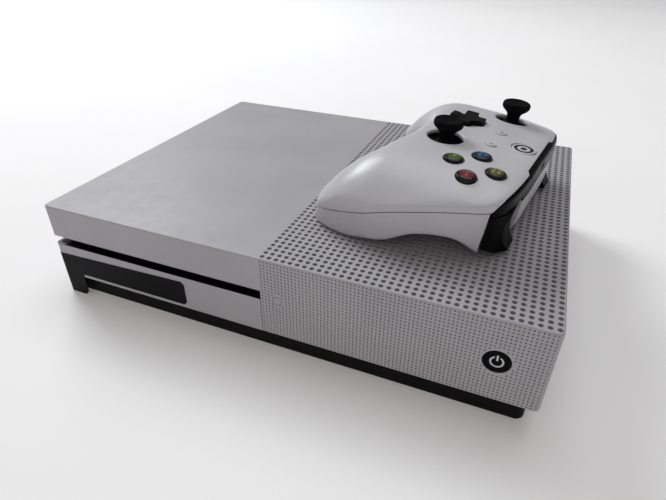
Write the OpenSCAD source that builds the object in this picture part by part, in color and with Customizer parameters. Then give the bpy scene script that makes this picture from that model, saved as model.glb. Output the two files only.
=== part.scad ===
// Flat game console with a wireless hand controller lying on its perforated half.
// Millimetres. X to the right, Y to the back, Z up; the origin is the middle of the underside.

/* [Console case] */
// Width of the console
console_w = 295; // [290:1:300]
// Depth of the console
console_d = 230; // [226:1:234]
// Height of the console
console_h = 64; // [63:0.5:66]
// Height of the set-back black base
base_h = 15; // [14:0.5:16]
// How far the base stands back from the white case
base_inset = 5; // [4:0.5:6]
// Wall thickness of the white case
case_wall = 2.2; // [2:0.1:2.6]
// Radius of the case's upright corners
case_r = 3; // [2:0.5:4]
// Lower edge of the disc groove
groove_low = 37.4; // [37:0.1:37.8]
// Upper edge of the disc groove
groove_high = 43.4; // [43:0.1:44]

/* [Ventilation grille] */
// Spacing of the holes
hole_pitch = 4; // [3.9:0.05:4.1]
// Diameter of one hole
hole_d = 2.5; // [2:0.1:2.8]
// Columns of holes across the right half
hole_columns = 37; // [9:1:37]
// Rows of holes front to back
hole_rows = 57; // [9:1:57]
// Thickness of the perforated plate
grille_t = 2; // [1.6:0.1:2.4]

/* [Console controls] */
// Diameter of the power button
power_d = 12.9; // [12:0.1:14]
// Power button's distance right of the middle
power_x = 123.6; // [118:0.2:128]
// Height of both front buttons
power_z = 39.5; // [36:0.5:44]
// Diameter of the eject button
eject_d = 5; // [4:0.5:6]

/* [Controller body] */
// Half of the controller's width
pad_half_w = 78.5; // [77:0.5:80]
// Wall thickness of the controller's shells
pad_wall = 2.2; // [2:0.1:2.4]
// Gap between the upper and the lower shell
pad_seam = 0.5; // [0.3:0.1:0.7]
// Sections across the controller
pad_sections = 28; // [22:2:40]
// Points round each section
pad_ring = 32; // [24:4:40]

/* [Controller keys] */
// Diameter of one face button
face_d = 10.4; // [10:0.1:10.6]
// Distance of each face button from the middle of the four
face_reach = 11.4; // [11:0.1:12]
// Diameter of a thumbstick's cap
stick_cap_d = 16.6; // [15:0.2:18]
// Diameter of a thumbstick's opening
stick_hole_d = 20.5; // [20:0.1:21]
// Length across the directional cross
dpad_span = 20.5; // [20:0.5:22.5]

/* [Controller place] */
// Controller's place to the right of the console's middle
place_x = 114.3; // [112:0.1:116]
// Controller's place behind the console's middle
place_y = -12.4; // [-15:0.1:-8]
// Height of the controller's face above the floor
place_z = 104; // [104:0.1:106]
// Turn of the controller on the console
place_yaw = -99.2; // [-102:0.1:-96]
// Lean of the controller towards its triggers
place_pitch = -5; // [-6:0.1:-4]

/* [Hidden] */
$fn = 48;
eps = 0.01;
far = 400;

half_w = console_w / 2;
half_d = console_d / 2;
front_y = -half_d;
base_half_w = half_w - base_inset;
base_half_d = half_d - base_inset;
panel_set = 0.25;          // the label lies on the lower panel, flush with the case above
foot_t = 1.2;
base_floor = 2.4;
base_wall = 2.4;
base_r = 5;
plate_z = base_h + 1;      // the steel plate that carries the boards

// Places of the inner units
drive_x = [-135.5, -10];
drive_y = [-106, 26];
drive_low = 28;
drive_high = 46;
drive_wall = 1;
disc_gap = 4.6;
disc_low = (groove_low + groove_high - disc_gap) / 2;
hub_xy = [-72.8, -38];
fan_xy = [90, 36];
fan_r = 52;
fan_low = 36;
sled_x = -72.8;
sled_z = 32.5;
roller_y = -97;

white = [0.86, 0.87, 0.9];
black = [0.05, 0.05, 0.055];
steel = [0.62, 0.63, 0.65];
board_green = [0.07, 0.2, 0.12];

// ---- plain helpers -------------------------------------------------------------------------------
module rounded_rect(w, d, r) {
  square([w - 2 * r, d], center = true);
  square([w, d - 2 * r], center = true);
  for (sx = [-1, 1], sy = [-1, 1])
    translate([sx * (w / 2 - r), sy * (d / 2 - r)])
      circle(r = r);
}

module block(low, high) {
  translate(low)
    cube([high[0] - low[0], high[1] - low[1], high[2] - low[2]]);
}

module case_prism(z0, z1, inset = 0) {
  translate([0, 0, z0])
    linear_extrude(z1 - z0)
      rounded_rect(console_w - 2 * inset, console_d - 2 * inset, max(case_r - inset, 0.8));
}

module front_rod(d, x, y0, y1, z) {
  translate([x, y1, z])
    rotate([90, 0, 0])
      cylinder(d = d, h = y1 - y0);
}

module side_rod(d, x0, x1, y, z) {
  translate([x0, y, z])
    rotate([0, 90, 0])
      cylinder(d = d, h = x1 - x0);
}

// ---- console case --------------------------------------------------------------------------------
module upper_shell() {
  rear_open = 137;
  button_gap = 0.3;
  color(white)
    difference() {
      case_prism(base_h, console_h);
      case_prism(base_h - 1, console_h - case_wall, case_wall);
      // the perforated plate closes the right half
      block([-1, -far, console_h - grille_t], [far, far, far]);
      block([4, -half_d + case_wall, console_h - 9], [half_w - case_wall, half_d - case_wall, far]);
      // the left half ends above the disc groove
      block([-far, -far, 0], [0, far, groove_high]);
      // opening for the rear panel
      block([-rear_open, half_d - 6, 0], [rear_open, far, console_h - 7]);
      front_rod(power_d + 2 * button_gap, power_x, front_y - 1, front_y + 5, power_z);
      front_rod(eject_d + 2 * button_gap, 10, front_y - 1, front_y + 5, power_z);
    }
}

module top_grille() {
  first_x = half_w - 2.2 - (hole_columns - 1) * hole_pitch;
  first_y = -(hole_rows - 1) * hole_pitch / 2;
  color(white)
    translate([0, 0, console_h - grille_t])
      linear_extrude(grille_t)
        difference() {
          intersection() {
            rounded_rect(console_w, console_d, case_r);
            translate([-1, -far])
              square([far, 2 * far]);
          }
          for (i = [0 : hole_columns - 1], j = [0 : hole_rows - 1])
            translate([first_x + i * hole_pitch, first_y + j * hole_pitch])
              circle(d = hole_d, $fn = 16);
        }
}

module lower_panel() {
  color(white)
    difference() {
      intersection() {
        case_prism(base_h, groove_low, panel_set);
        block([-far, -far, 0], [-0.5, far, far]);
      }
      case_prism(0, far, panel_set + case_wall);
      block([-far, half_d - 6, 0], [far, far, far]);
    }
}

// Black liner that shows inside the disc groove and guides the disc
module slot_bezel() {
  liner_x = [-139, -2.6];
  liner_y = [-109.5, -106.5];
  color(black)
    difference() {
      union() {
        block([liner_x[0], liner_y[0], base_h + 4], [liner_x[1], liner_y[1], console_h - case_wall - 0.3]);
        block([liner_x[0], liner_y[0], base_h + 4],
          [liner_x[0] + 2.5, base_half_d - 4, console_h - case_wall - 0.3]);
        block([-half_w + 3, front_y + 3, groove_low - 1.2], [liner_x[0] + 0.5, base_half_d - 4, groove_low]);
        block([-half_w + 3, front_y + 3, groove_low - 1.2], [-2.6, liner_y[0] + 0.5, groove_low]);
      }
      block([drive_x[0] + 2, -far, disc_low], [drive_x[1] - 2, liner_y[1] + 1, disc_low + disc_gap]);
    }
}

module base_cover() {
  vents = 24;
  vent_step = 9;
  color(black)
    difference() {
      translate([0, 0, foot_t])
        linear_extrude(base_h - foot_t)
          rounded_rect(2 * base_half_w, 2 * base_half_d, base_r);
      translate([0, 0, foot_t + base_floor])
        linear_extrude(base_h)
          rounded_rect(2 * (base_half_w - base_wall), 2 * (base_half_d - base_wall), base_r - base_wall);
      for (i = [0 : vents - 1], side = [-1, 1])
        translate([(i - (vents - 1) / 2) * vent_step, side * 62, foot_t - 1])
          linear_extrude(base_floor + 2)
            square([3, 46], center = true);
      for (sx = [-1, 1], sy = [-1, 0, 1])
        translate([sx * 118, sy * 90, foot_t - eps])
          cylinder(d = 16.4, h = 0.6);
    }
}

module rubber_feet() {
  color([0.09, 0.09, 0.09])
    for (sx = [-1, 1], sy = [-1, 0, 1])
      translate([sx * 118, sy * 90, 0])
        cylinder(d = 16, h = foot_t + 0.5);
}

module rear_panel() {
  panel_y = [half_d - 4.6, half_d - 2.4];
  slot_rows = 4;
  slot_count = 26;
  color(black)
    difference() {
      block([-136.5, panel_y[0], base_h + 0.4], [136.5, panel_y[1], console_h - 7.4]);
      // louvres over the upper part
      for (i = [0 : slot_count - 1], j = [0 : slot_rows - 1])
        block([-118 + i * 9.2, panel_y[0] - 1, 38 + j * 4.4],
          [-118 + i * 9.2 + 6.4, panel_y[1] + 1, 40 + j * 4.4]);
      block([-121, panel_y[0] - 1, 19], [-104.4, panel_y[1] + 1, 28.8]);
      for (x = [-84, -56])
        block([x - 8, panel_y[0] - 1, 19.6], [x + 8, panel_y[1] + 1, 26]);
      for (x = [-26, -2])
        block([x - 7.3, panel_y[0] - 1, 19.4], [x + 7.3, panel_y[1] + 1, 26.2]);
      block([34.6, panel_y[0] - 1, 18.8], [51.4, panel_y[1] + 1, 32.8]);
      front_rod(9, 74, panel_y[0] - 1, panel_y[1] + 1, 24);
      front_rod(4, 92, panel_y[0] - 1, panel_y[1] + 1, 24);
    }
}

// ---- sockets -------------------------------------------------------------------------------------
module power_inlet() {
  inlet_y = [half_d - 24, half_d - 3];
  color([0.1, 0.1, 0.1]) {
    difference() {
      block([-120.6, inlet_y[0], 19.4], [-104.8, inlet_y[1], 28.4]);
      block([-119, inlet_y[0] + 4, 20.8], [-106.4, far, 27]);
    }
    for (x = [-117, -108.4])
      front_rod(2.3, x, inlet_y[0] + 3, inlet_y[1] - 3, 23.9);
  }
}

module tongue_port(x, w, h, z, depth, tongue_t, wall) {
  difference() {
    block([x - w / 2, half_d - 3 - depth, z], [x + w / 2, half_d - 3, z + h]);
    block([x - w / 2 + wall, half_d - 3 - depth + 2, z + wall], [x + w / 2 - wall, far, z + h - wall]);
  }
  block([x - w / 2 + 1.8, half_d - 3 - depth + 1, z + h / 2 - tongue_t / 2],
    [x + w / 2 - 1.8, half_d - 5, z + h / 2 + tongue_t / 2]);
}

module hdmi_ports() {
  color(steel)
    for (x = [-84, -56])
      tongue_port(x, 15.4, 5.8, 19.9, 12, 1.2, 0.4);
}

module usb_ports() {
  color(steel)
    for (x = [-26, -2])
      tongue_port(x, 14, 6.2, 19.7, 14, 1.9, 0.4);
}

module ethernet_port() {
  socket_y = [half_d - 20, half_d - 3];
  color(steel)
    difference() {
      block([35, socket_y[0], 19.7], [51, socket_y[1], 32.4]);
      block([37, socket_y[0] + 3, 21.4], [49, far, 29.4]);
      block([40, socket_y[0] + 3, 20.3], [46, far, 22]);
    }
}

// ---- console buttons -----------------------------------------------------------------------------
module power_mark(t) {
  ring_r = 2.9;
  rotate([90, 0, 0])
    linear_extrude(t) {
      difference() {
        circle(r = ring_r + 0.45);
        circle(r = ring_r - 0.45);
        translate([-1.3, 0])
          square([2.6, 6]);
      }
      translate([-0.45, 0.6])
        square([0.9, 3.4]);
    }
}

module power_button() {
  mark_t = 0.6;
  color(black)
    difference() {
      union() {
        front_rod(power_d, power_x, front_y, front_y + 3, power_z);
        front_rod(power_d + 3, power_x, front_y + 2.6, front_y + 4, power_z);
        front_rod(4, power_x, front_y + 4, front_y + 7, power_z);
      }
      translate([power_x, front_y + mark_t, power_z])
        power_mark(mark_t + 1);
    }
}

module power_light() {
  mark_t = 0.6;
  color([0.85, 0.86, 0.88])
    translate([power_x, front_y + mark_t, power_z])
      power_mark(mark_t);
}

module eject_button() {
  color(white) {
    front_rod(eject_d, 10, front_y, front_y + 3, power_z);
    front_rod(eject_d + 2.4, 10, front_y + 2.6, front_y + 4, power_z);
  }
}

// Black film stuck round the front left corner, hanging down over the base
module corner_label() {
  film = panel_set;
  label_right = -51;
  lobe_right = -131;
  corner_top = 30.5;
  right_top = 33.8;
  line_low = 17.2;
  side_back = -92;
  lobe_back = -99;
  hang_low = 0.5;
  color(black) {
    translate([0, front_y + film, 0])
      rotate([90, 0, 0])
        linear_extrude(film)
          union() {
            polygon([[-half_w + case_r, line_low], [label_right - 2, line_low], [label_right, line_low + 2],
              [label_right, right_top - 2], [label_right - 2, right_top], [-half_w + case_r, corner_top]]);
            polygon([[-half_w + case_r, line_low + 1], [lobe_right + 2, line_low + 1],
              [lobe_right, line_low - 1],
              [lobe_right, hang_low + 3], [lobe_right - 3, hang_low], [-half_w + case_r, hang_low]]);
          }
    intersection() {
      difference() {
        case_prism(hang_low, corner_top);
        case_prism(hang_low - 1, corner_top + 1, film);
      }
      union() {
        block([-far, -far, hang_low], [-half_w + case_r, lobe_back, corner_top]);
        block([-far, -far, line_low], [-half_w + case_r, side_back, corner_top]);
      }
    }
  }
}

// ---- inside the console --------------------------------------------------------------------------
module chassis_plate() {
  color(steel)
    difference() {
      block([-base_half_w + 4, -base_half_d + 4, plate_z - 1.2], [base_half_w - 4, base_half_d - 4, plate_z]);
      for (x = [-125 : 25 : 125], y = [-90, 90])
        translate([x, y, plate_z - 3])
          cylinder(d = 6, h = 6);
    }
}

module mainboard() {
  color(board_green)
    difference() {
      union() {
        block([-8, -96, plate_z + 2], [136, 104, plate_z + 3.6]);
        block([-100, 91, plate_z + 2], [-7, 104, plate_z + 3.6]);
      }
      for (x = [0, 128], y = [-88, 88])
        translate([x, y, plate_z])
          cylinder(d = 3.4, h = 8);
    }
  color(steel)
    for (x = [0, 128], y = [-88, 88])
      translate([x, y, plate_z])
        difference() {
          cylinder(d = 6, h = 2);
          translate([0, 0, -1])
            cylinder(d = 2.6, h = 4);
        }
}

module heatsink() {
  fins = 22;
  color([0.72, 0.73, 0.74]) {
    block([fan_xy[0] - 42, fan_xy[1] - 42, plate_z + 3.6], [fan_xy[0] + 40, fan_xy[1] + 42, plate_z + 7]);
    for (i = [0 : fins - 1])
      block([fan_xy[0] - 42 + i * 3.8, fan_xy[1] - 42, plate_z + 6.5],
        [fan_xy[0] - 41.2 + i * 3.8, fan_xy[1] + 42, fan_low - 2]);
  }
}

module fan_housing() {
  color([0.12, 0.12, 0.13])
    translate([fan_xy[0], fan_xy[1], fan_low - 1.5])
      difference() {
        linear_extrude(22)
          rounded_rect(108, 108, 6);
        translate([0, 0, 1.5])
          cylinder(r = fan_r, h = 30, $fn = 96);
        translate([0, 0, -1])
          cylinder(r = 30, h = 4);
      }
  color([0.12, 0.12, 0.13])
    for (a = [0, 90])
      translate([fan_xy[0], fan_xy[1], fan_low - 1.5])
        rotate([0, 0, a])
          block([-32, -3, 0], [32, 3, 1.5]);
  color(steel)
    translate([fan_xy[0], fan_xy[1], fan_low])
      cylinder(d = 3, h = 14);
}

module fan_rotor() {
  blades = 11;
  hub_r = 20;
  color([0.16, 0.16, 0.17])
    translate([fan_xy[0], fan_xy[1], fan_low + 1])
      difference() {
        union() {
          cylinder(r = hub_r, h = 16);
          for (i = [0 : blades - 1])
            rotate([0, 0, i * 360 / blades])
              translate([hub_r - 2, 0, 1])
                rotate([0, 0, 24])
                  block([0, -0.8, 0], [32, 0.8, 14]);
        }
        translate([0, 0, -1])
          cylinder(d = 3.1, h = 20);
      }
}

module power_supply() {
  color([0.1, 0.1, 0.11])
    difference() {
      block([-132, 30, plate_z + 1], [-30, 88, plate_z + 18]);
      for (i = [0 : 11])
        block([-126 + i * 8, 29, plate_z + 6], [-122 + i * 8, 31, plate_z + 14]);
    }
}

module hard_drive() {
  color([0.66, 0.67, 0.69])
    difference() {
      block([-132, -84, plate_z + 1], [-62, 16, plate_z + 10.5]);
      block([-128, -80, plate_z + 10], [-66, 12, plate_z + 11]);
    }
}

// Drive case, open at the front along the disc's way in
module optical_drive() {
  guide_d = 3.2;
  color(steel) {
    difference() {
      block([drive_x[0], drive_y[0], drive_low], [drive_x[1], drive_y[1], drive_high]);
      block([drive_x[0] + drive_wall, drive_y[0] + drive_wall, drive_low + drive_wall],
        [drive_x[1] - drive_wall, drive_y[1] - drive_wall, drive_high - drive_wall]);
      block([drive_x[0] + 2, -far, disc_low], [drive_x[1] - 2, drive_y[0] + 5, disc_low + disc_gap]);
      translate([hub_xy[0], hub_xy[1], drive_low - 1])
        cylinder(d = 8, h = 4);
    }
    translate([sled_x + 20, -64, sled_z])
      rotate([-90, 0, 0])
        cylinder(d = guide_d, h = drive_y[1] + 64 - drive_wall / 2);
  }
}

module disc_hub() {
  color([0.2, 0.2, 0.21])
    translate([hub_xy[0], hub_xy[1], 0]) {
      translate([0, 0, drive_low + 2])
        cylinder(d = 26, h = 5);
      translate([0, 0, drive_low + 6.5])
        cylinder(d = 14.6, h = disc_low - drive_low - 7.1);
      translate([0, 0, drive_low - 0.5])
        cylinder(d = 3, h = 4);
    }
}

module laser_sled() {
  color([0.14, 0.14, 0.15])
    difference() {
      union() {
        block([sled_x - 26, -14, sled_z - 2.5], [sled_x + 26, 6, sled_z + 2.5]);
        translate([sled_x, -4, sled_z + 2.5])
          cylinder(d = 6, h = 1.2);
      }
      translate([sled_x - 20, -30, sled_z])
        rotate([-90, 0, 0])
          cylinder(d = 4.2, h = 60);
      translate([sled_x + 20, -30, sled_z])
        rotate([-90, 0, 0])
          cylinder(d = 3.3, h = 60);
    }
}

module lead_screw() {
  color(steel)
    translate([sled_x - 20, -60, sled_z])
      rotate([-90, 0, 0])
        difference() {
          cylinder(d = 3.4, h = 82);
          translate([1.4, -1, 1])
            cube([1, 2, 4]);
        }
}

module feed_roller() {
  color([0.12, 0.12, 0.12])
    difference() {
      union() {
        side_rod(3, -134, -18, roller_y, disc_low - 4.2);
        side_rod(6.4, -128, -84, roller_y, disc_low - 4.2);
        side_rod(6.4, -68, -24, roller_y, disc_low - 4.2);
      }
      block([-135, roller_y + 1, disc_low - 5], [-131, roller_y + 3, disc_low - 3]);
    }
}

module case_screws() {
  color(steel)
    for (x = [-130, 0, 130], y = [-100, 100])
      translate([x, y, foot_t + base_floor]) {
        cylinder(d = 6, h = 2);
        translate([0, 0, 1.9])
          cylinder(d = 2.6, h = plate_z - foot_t - base_floor - 3.2);
      }
}

// ---- controller body surface ---------------------------------------------------------------------
// The controller has its own frame: X to its right, Y towards its bumpers, Z out of its face.
module on_pad() {
  translate([place_x, place_y, place_z])
    rotate([0, 0, place_yaw])
      rotate([place_pitch, 0, 0])
        children();
}

widest_y = -56;
front_edge = [[0, 12], [30, 12], [48, 10], [58, 6], [64, 0], [68, -9], [72.5, -22], [76, -36],
  [pad_half_w, widest_y]];
palm_edge = [[0, -63], [14, -63.2], [24, -65.6], [33, -71.2], [41, -79.8], [48, -88], [57, -93],
  [66.2, -91.5], [74.5, -82], [pad_half_w, widest_y]];
seam_line = [[-93, -38.7], [-66, -30.1], [-40, -20.3], [-17, -14.3], [4, -11.3], [20, -10]];
under_line = [[-93, -48.2], [-80, -46.9], [-62, -45.3], [-45, -40.5], [-30, -31.5], [-15, -29.5], [0, -31.5],
  [20, -31]];

function slope(p, i) =
  let (a = max(i - 1, 0), b = min(i + 1, len(p) - 1)) (p[b][1] - p[a][1]) / (p[b][0] - p[a][0]);
function span(p, x, i = 0) = (i >= len(p) - 2 || x <= p[i + 1][0]) ? i : span(p, x, i + 1);
function cubic(p, x, i) =
  let (h = p[i + 1][0] - p[i][0], t = (x - p[i][0]) / h)
    (2 * pow(t, 3) - 3 * pow(t, 2) + 1) * p[i][1] + (pow(t, 3) - 2 * pow(t, 2) + t) * h * slope(p, i)
    + (3 * pow(t, 2) - 2 * pow(t, 3)) * p[i + 1][1] + (pow(t, 3) - pow(t, 2)) * h * slope(p, i + 1);
// Smooth curve through the points of p
function curve(p, x) = cubic(p, x, span(p, x));
function bell(x, middle, width) = exp(-pow((x - middle) / width, 2));
function step_up(x, middle, width) = 1 / (1 + exp((middle - x) / width));
function rounding(v, p) = pow(max(0, 1 - pow(abs(v), p)), 1 / p);

function crown(u, y) =
  1.2 * step_up(-y, 10, 3) - 9 * pow(u / 70, 4.5) - (y < -50 ? 0.0038 * pow(-50 - y, 2.3) : 0);
function belly(u, y) =
  let (k = step_up(u, 34, 4))
    k * curve(under_line, y) - (1 - k) * 36 - 9.2 * bell(u, 55, 12) * bell(y, 3.5, 8.5);
belly_power = 8;
function crown_power(u, front) = front ? 6 : 6.5 - 3.7 * step_up(u, 33, 4);
function crown_side(r) = pow(max(0, 1 - pow(r, 7.8)), 1 / 2.6);
function belly_side(r) = pow(max(0, 1 - pow(r, 30)), 1 / 8);

// Height of the upper surface over a point of the face
function face_z(x, y) =
  let (u = abs(x), lo = curve(palm_edge, u), hi = curve(front_edge, u), v = (2 * y - hi - lo) / (hi - lo),
    s = curve(seam_line, y))
    s + (crown(u, y) - s) * rounding(v, crown_power(u, v > 0)) * crown_side(u / pad_half_w);

// Height of the lower surface under a point of the face
function under_z(x, y) =
  let (u = abs(x), lo = curve(palm_edge, u), hi = curve(front_edge, u), v = (2 * y - hi - lo) / (hi - lo),
    s = curve(seam_line, y))
    s + (belly(u, y) - s) * rounding(v, belly_power) * belly_side(u / pad_half_w);

function ring(x, inset) =
  let (u = abs(x) * pad_half_w / (pad_half_w - inset), lo = curve(palm_edge, u) + inset,
    hi = curve(front_edge, u) - inset, k = u / pad_half_w)
    [for (i = [0 : pad_ring - 1])
      let (a = 360 * i / pad_ring, up = sin(a) >= 0, p = up ? crown_power(u, cos(a) > 0) : belly_power,
        v = sign(cos(a)) * pow(abs(cos(a)), 2 / p), w = rounding(v, p),
        y = (lo + hi) / 2 + (hi - lo) / 2 * v, s = curve(seam_line, y))
        [x, y, up ? s + (crown(u, y) - inset - s) * w * crown_side(k)
          : s + (belly(u, y) + inset - s) * w * belly_side(k)]];

// Closed body of the controller, drawn in by inset on every side
module pad_body(inset) {
  n = pad_sections;
  m = pad_ring;
  reach = pad_half_w - inset;
  rings = [for (i = [1 : n - 1]) each ring(-reach * cos(180 * i / n), inset)];
  tip_z = curve(seam_line, widest_y);
  points = concat(rings, [[-reach, widest_y, tip_z], [reach, widest_y, tip_z]]);
  left = len(rings);
  right = left + 1;
  last = (n - 2) * m;
  sides = [for (i = [0 : n - 3], j = [0 : m - 1])
    let (a = i * m + j, b = i * m + (j + 1) % m)
      each [[a, b + m, b], [a, a + m, b + m]]];
  ends = [for (j = [0 : m - 1])
    each [[left, j, (j + 1) % m], [right, last + (j + 1) % m, last + j]]];
  polyhedron(points, concat(sides, ends), convexity = 8);
}

// Everything above (or below) the seam, moved by lift
module past_seam(lift, above) {
  edge = [for (y = [-100 : 4 : 32]) [y, curve(seam_line, min(max(y, -93), 20)) + lift]];
  shut = above ? [[32, 60], [-100, 60]] : [[32, -80], [-100, -80]];
  translate([-100, 0, 0])
    rotate([90, 0, 90])
      linear_extrude(200)
        polygon(concat(edge, shut));
}

module pad_slab(x0, x1, y0, y1, z0, z1) {
  block([min(x0, x1), y0, z0], [max(x0, x1), y1, z1]);
}

// ---- controller layout ---------------------------------------------------------------------------
keys_xy = [40.5, -15.4];
stick_left_xy = [-42.2, -18.4];
stick_right_xy = [17, -40.4];
dpad_xy = [-17.2, -39.6];
home_xy = [0, -0.5];
view_xy = [-10.4, -16.4];
menu_xy = [10.4, -16.4];
home_d = 13.4;
small_d = 5.6;
key_gap = 0.4;
bay_y = 2.6;
bumper_split = 26;
// Border of the white face, and lower border of the black front, outwards from the middle
shoulder = [[24, 7], [27.5, 8.7], [54, 8.6], [59.4, 9.4], [62.5, 10.9], [90, 13]];
bumper_low = [[35.6, -12.6], [36.8, -9.9], [44, -10.8], [53, -13.4], [62, -14.2], [90, -14.2]];
// Front edge of the lower shell's side covers, downwards
cover_edge = [[bay_y, 20], [bay_y, -12], [bay_y - 0.4, -23], [bay_y - 1, -33], [bay_y - 1.4, -40],
  [bay_y - 1.4, -80]];
cover_x = 42;
door = [24, -50, -12];
stick_pivot_z = -12.1;
trigger_pivot = [2, -10.4];
rumble_yz = [-60, -25];
board_z = -18;

// Opening through the face with a sloping rim
module face_opening(xy, d, rim) {
  z = face_z(xy[0], xy[1]);
  translate([xy[0], xy[1], -12])
    cylinder(d = d, h = 20);
  translate([xy[0], xy[1], z])
    hull() {
      translate([0, 0, -rim])
        cylinder(d = d, h = eps, $fn = 32);
      translate([0, 0, 3])
        cylinder(d = d + 2 * rim + 6, h = eps, $fn = 32);
    }
}

module cross_plate(span, width) {
  square([span, width], center = true);
  square([width, span], center = true);
}

function both_ways(line) = concat([for (i = [len(line) - 1 : -1 : 0]) [-line[i][0], line[i][1]]], line);

// Everything beyond the border of the white face; clear and spread set the gap and its growth outwards
module past_shoulder(clear, spread = 0) {
  rotate([-45, 0, 0])
    translate([0, 0, -60])
      linear_extrude(120)
        polygon(concat(
          [for (p = both_ways(shoulder)) [p[0], p[1] + clear + spread * max(0, abs(p[0]) - 27.5)]],
          [[90, 70], [-90, 70]]));
}

// Everything in the front bay over the lower border of the black front
module over_bumper_edge(clear) {
  translate([0, 60, 0])
    rotate([90, 0, 0])
      linear_extrude(60 - bay_y)
        polygon(concat([for (p = both_ways(bumper_low)) [p[0], p[1] - clear]], [[90, 30], [-90, 30]]));
}

// Everything in front of the side covers
module past_cover() {
  translate([-100, 0, 0])
    rotate([90, 0, 90])
      linear_extrude(200)
        polygon(concat(cover_edge, [[60, -80], [60, 20]]));
}

// Room behind a trigger for its pull
module trigger_room(side) {
  mirror([side < 0 ? 1 : 0, 0, 0])
    translate([0, 30, 0])
      rotate([90, 0, 0])
        linear_extrude(39)
          polygon([[36.3, -12.4], [61.7, -12.4], [61.7, -27], [60.6, -31.6], [58.4, -35.2], [55, -37.6],
            [51, -38.8], [51, -60], [36.3, -60]]);
}

module front_shell() {
  color(white)
    on_pad()
      difference() {
        pad_body(0);
        pad_body(pad_wall);
        past_seam(pad_seam / 2, false);
        intersection() {
          past_shoulder(-0.1);
          pad_slab(-90, 90, bay_y, 40, -40, 20);
        }
        for (a = [0 : 90 : 270])
          face_opening(keys_xy + face_reach * [cos(a), sin(a)], face_d + 2 * key_gap, 0.4);
        face_opening(stick_left_xy, stick_hole_d, 1.6);
        face_opening(stick_right_xy, stick_hole_d, 1.6);
        face_opening(home_xy, home_d + 2 * key_gap, 0.2);
        face_opening(view_xy, small_d + 2 * key_gap, 0.2);
        face_opening(menu_xy, small_d + 2 * key_gap, 0.2);
        translate([dpad_xy[0], dpad_xy[1], -12])
          linear_extrude(20)
            cross_plate(dpad_span + 2, 8.8);
        translate([dpad_xy[0], dpad_xy[1], -0.6])
          cylinder(d = dpad_span + 4, h = 10);
      }
}

module back_shell() {
  ribs = 4;
  color(white)
    on_pad() {
      difference() {
        pad_body(0);
        pad_body(pad_wall);
        past_seam(-pad_seam / 2, true);
        for (side = [-1, 1]) {
          pad_slab(side * (cover_x - 0.2), side * 90, -100, 40, -80, 20);
          pad_slab(side * 35.8, side * 90, bay_y, 40, -80, 20);
          trigger_room(side);
        }
        over_bumper_edge(0.5);
        pad_slab(-door[0] - 0.2, door[0] + 0.2, door[1] - 0.2, door[2] + 0.2, -80, -28);
      }
      // tapered screw posts
      for (side = [-1, 1], k = [0 : ribs - 1])
        hull() {
          translate([side * 33, -48 + 11 * k, under_z(33, -48 + 11 * k) + 1.4])
            cylinder(d = 4.4, h = 1, $fn = 24);
          translate([side * 33, -48 + 11 * k, board_z - 2])
            cylinder(d = 3, h = 0.4, $fn = 24);
        }
    }
}

module grip_cover(side) {
  posts = 8;
  color(white)
    on_pad() {
      difference() {
        pad_body(0);
        pad_body(pad_wall);
        past_seam(-pad_seam / 2, true);
        pad_slab(side * (cover_x + 0.2), -side * 90, -100, 40, -80, 20);
        past_cover();
        trigger_room(side);
      }
      // tapered posts that meet the upper shell
      for (k = [0 : posts - 1])
        let (y = -76 + 8 * k, z = curve(seam_line, y))
          hull() {
            translate([side * 66, y, under_z(66, y) + 1.6])
              cylinder(d = 3.6, h = 1, $fn = 16);
            translate([side * 66, y, z - 5])
              cylinder(d = 2.4, h = 1, $fn = 16);
          }
    }
}

module grip_left() {
  grip_cover(-1);
}

module grip_right() {
  grip_cover(1);
}

module battery_door() {
  color(white)
    on_pad()
      difference() {
        intersection() {
          pad_body(0);
          pad_slab(-door[0], door[0], door[1], door[2], -80, -28.2);
        }
        pad_body(pad_wall - 0.2);
      }
}

module batteries() {
  cell_d = 13.2;
  color([0.75, 0.6, 0.3])
    on_pad()
      for (y = [-34, -19])
        translate([0, y, -26.4])
          rotate([0, 90, 0]) {
            translate([0, 0, -24.5])
              cylinder(d = cell_d, h = 48);
            translate([0, 0, 23.4])
              cylinder(d = 5, h = 1.4);
          }
}

// Band of the front edge between x0 and x1
module bumper_band(x0, x1) {
  difference() {
    intersection() {
      pad_body(0);
      past_shoulder(0.25, 0.0125);
      over_bumper_edge(0);
      pad_slab(x0, x1, bay_y + 1, 40, -40, 20);
    }
    pad_body(pad_wall);
  }
}

module bumper_bridge() {
  color(black)
    on_pad()
      difference() {
        bumper_band(-bumper_split + 0.4, bumper_split - 0.4);
        pad_slab(-4, 4, 0, 40, -8, -5.2);
      }
}

module bumper_left() {
  color(black)
    on_pad()
      bumper_band(-90, -bumper_split);
}

module bumper_right() {
  color(black)
    on_pad()
      bumper_band(bumper_split, 90);
}

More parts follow.
